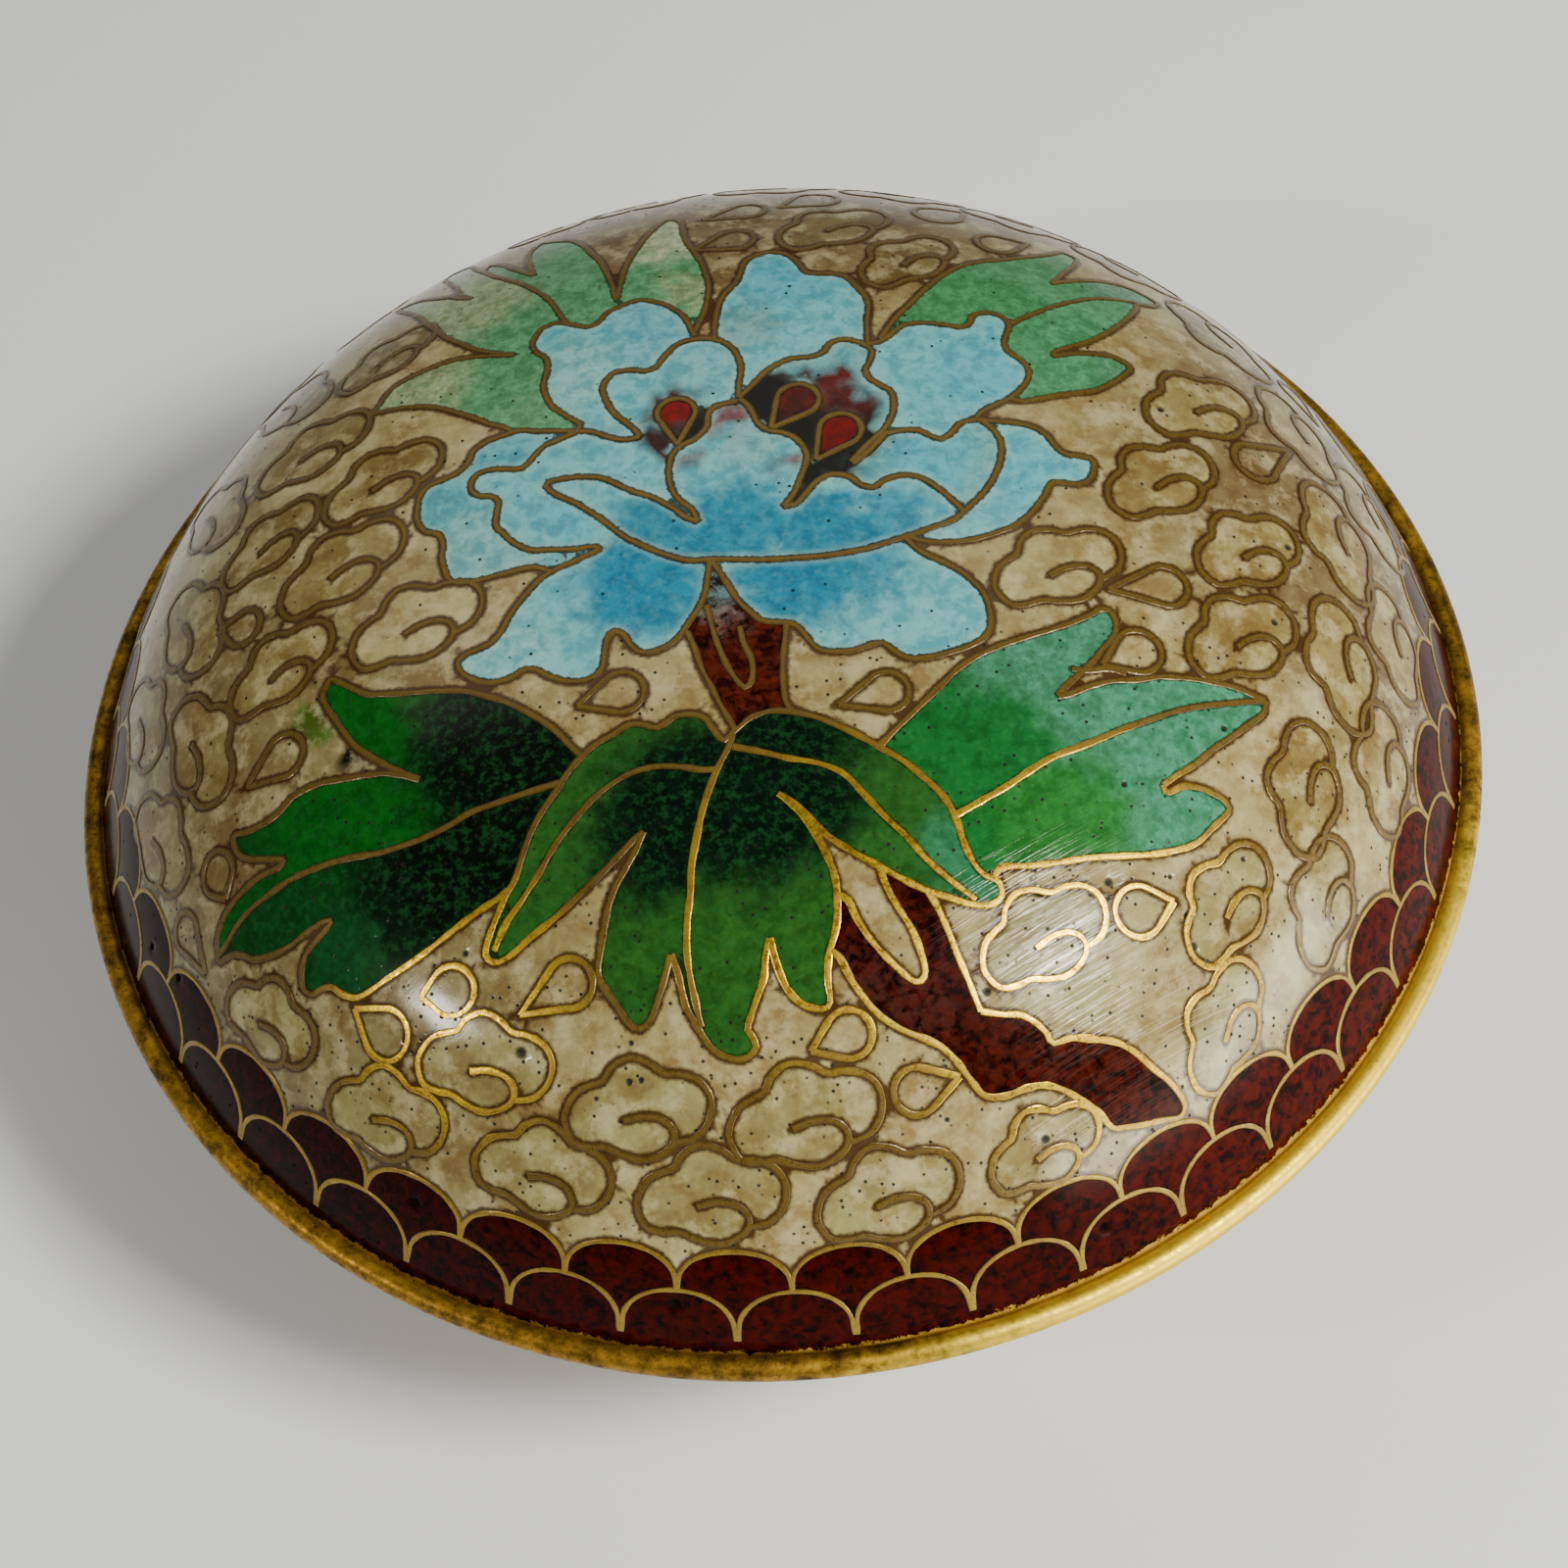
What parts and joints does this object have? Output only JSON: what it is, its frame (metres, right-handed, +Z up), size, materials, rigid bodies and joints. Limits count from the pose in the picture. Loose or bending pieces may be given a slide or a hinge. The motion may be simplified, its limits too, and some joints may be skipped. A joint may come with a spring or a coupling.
{
  "type": "cloisonne enamel box",
  "caption": "Round domed enamel box with a lift-off lid, a gilt rim, an inner collar at the mouth and a low foot ring.",
  "frame": {"origin": "centre of the foot ring's underside, on the surface the box stands on", "axes": "+Z up through the middle of the lid, -Y towards the front, from where the flower on the lid stands upright, +X to the right"},
  "size_m": [0.076, 0.076, 0.0376],
  "materials": {
    "lid_enamel": "polished cloisonne enamel on copper, cream ground with pinholes",
    "base_enamel": "polished cloisonne enamel on copper, cream ground with a red scale border",
    "gilt_brass": "gilt brass, rubbed and scratched"
  },
  "bodies": {
    "root": {"lid_dome": "lid_enamel", "lid_rim": "gilt_brass", "base_bowl": "base_enamel", "base_rim": "gilt_brass", "foot_ring": "gilt_brass"}
  },
  "joints": []
}
